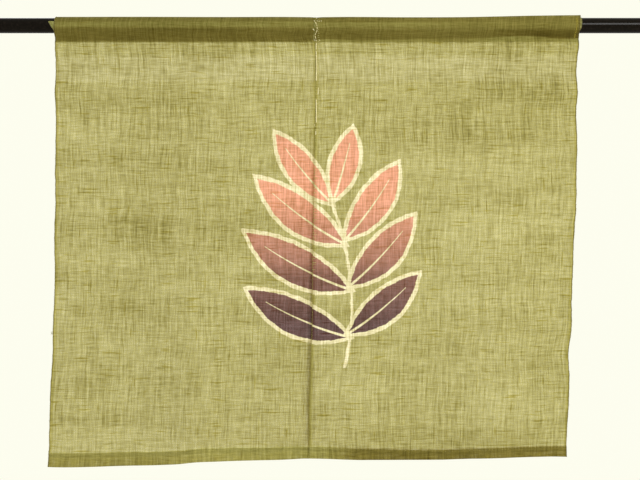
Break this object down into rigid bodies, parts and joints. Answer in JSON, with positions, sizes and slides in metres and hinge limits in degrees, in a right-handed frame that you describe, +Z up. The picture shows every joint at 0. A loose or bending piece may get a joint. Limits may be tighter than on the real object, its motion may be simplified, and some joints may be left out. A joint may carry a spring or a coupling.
{
  "type": "noren curtain on a rod",
  "caption": "Split noren curtain of open slubby hand-woven cloth, hung by its sewn rod pocket on a plain round rod to screen a doorway.",
  "frame": {"origin": "on the rod's axis, above the line where the two panels meet", "axes": "+X along the rod to the right as seen from the front, +Z up, and the front of the curtain faces -Y"},
  "size_m": [1.2, 0.028, 0.7594],
  "materials": {
    "cloth": "matt, open, slubby hand-woven bast fibre, dyed moss green",
    "rod": "black gloss lacquer"
  },
  "bodies": {
    "root": {"panel_left": "cloth", "panel_right": "cloth", "rod": "rod"}
  },
  "joints": []
}
